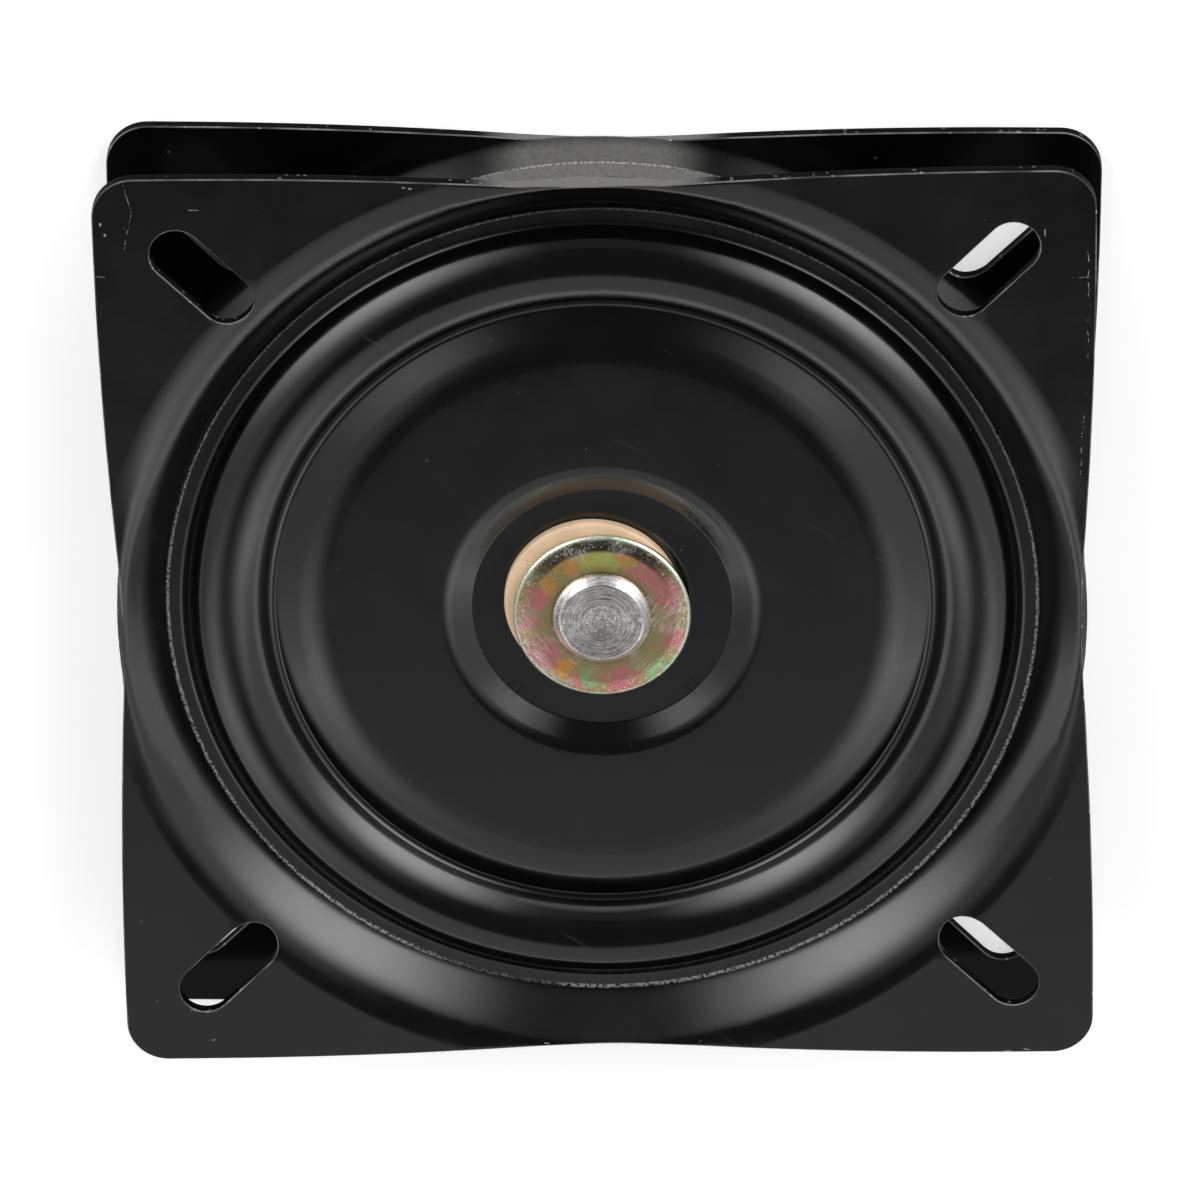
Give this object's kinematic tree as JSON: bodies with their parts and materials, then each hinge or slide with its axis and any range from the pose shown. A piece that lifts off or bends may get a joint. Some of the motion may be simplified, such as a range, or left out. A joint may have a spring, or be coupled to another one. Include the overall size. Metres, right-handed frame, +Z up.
{
  "type": "boat seat swivel",
  "caption": "Low square seat swivel of two pressed black steel plates turning on each other over a ring of steel balls, held by a riveted centre pivot, with slotted mounting corners.",
  "frame": {"origin": "on the swivel axis, level with the feet of the lower plate", "axes": "+Z up along the swivel axis to the seat, +X to the right and +Y away in the picture, square with the upper plate"},
  "size_m": [0.181, 0.181, 0.0225],
  "materials": {
    "black_coated_steel": "smooth black coat, satin to gloss",
    "bare_steel": "bare peened steel",
    "yellow_zinc_steel": "yellow zinc plating with a rainbow sheen",
    "cream_nylon": "smooth moulded nylon",
    "bearing_steel": "polished"
  },
  "bodies": {
    "base": {"bottom_plate": "black_coated_steel", "pivot_rivet": "bare_steel", "cover_washer": "yellow_zinc_steel", "thrust_washer": "cream_nylon", "floor_spacer": "cream_nylon"},
    "seat_side": {"top_plate": "black_coated_steel"},
    "ball_ring": {"race_ball_01": "bearing_steel", "race_ball_02": "bearing_steel", "race_ball_03": "bearing_steel", "race_ball_04": "bearing_steel", "race_ball_05": "bearing_steel", "race_ball_06": "bearing_steel", "race_ball_07": "bearing_steel", "race_ball_08": "bearing_steel", "race_ball_09": "bearing_steel", "race_ball_10": "bearing_steel", "race_ball_11": "bearing_steel", "race_ball_12": "bearing_steel", "race_ball_13": "bearing_steel", "race_ball_14": "bearing_steel", "race_ball_15": "bearing_steel", "race_ball_16": "bearing_steel", "race_ball_17": "bearing_steel", "race_ball_18": "bearing_steel", "race_ball_19": "bearing_steel", "race_ball_20": "bearing_steel", "race_ball_21": "bearing_steel", "race_ball_22": "bearing_steel", "race_ball_23": "bearing_steel", "race_ball_24": "bearing_steel", "race_ball_25": "bearing_steel", "race_ball_26": "bearing_steel", "race_ball_27": "bearing_steel", "race_ball_28": "bearing_steel", "race_ball_29": "bearing_steel", "race_ball_30": "bearing_steel", "race_ball_31": "bearing_steel", "race_ball_32": "bearing_steel", "race_ball_33": "bearing_steel", "race_ball_34": "bearing_steel", "race_ball_35": "bearing_steel", "race_ball_36": "bearing_steel", "race_ball_37": "bearing_steel", "race_ball_38": "bearing_steel"}
  },
  "joints": [
    {"name": "swivel", "type": "hinge", "parent": "base", "child": "seat_side", "pos_m": [0, 0, 0.01125], "axis": [0, 0, 1], "continuous": true},
    {"name": "ball_roll", "type": "hinge", "parent": "base", "child": "ball_ring", "pos_m": [0, 0, 0.01125], "axis": [0, 0, 1], "continuous": true}
  ],
  "couplings": [
    {"joint": "ball_roll", "follows": "swivel", "ratio": 0.5}
  ]
}
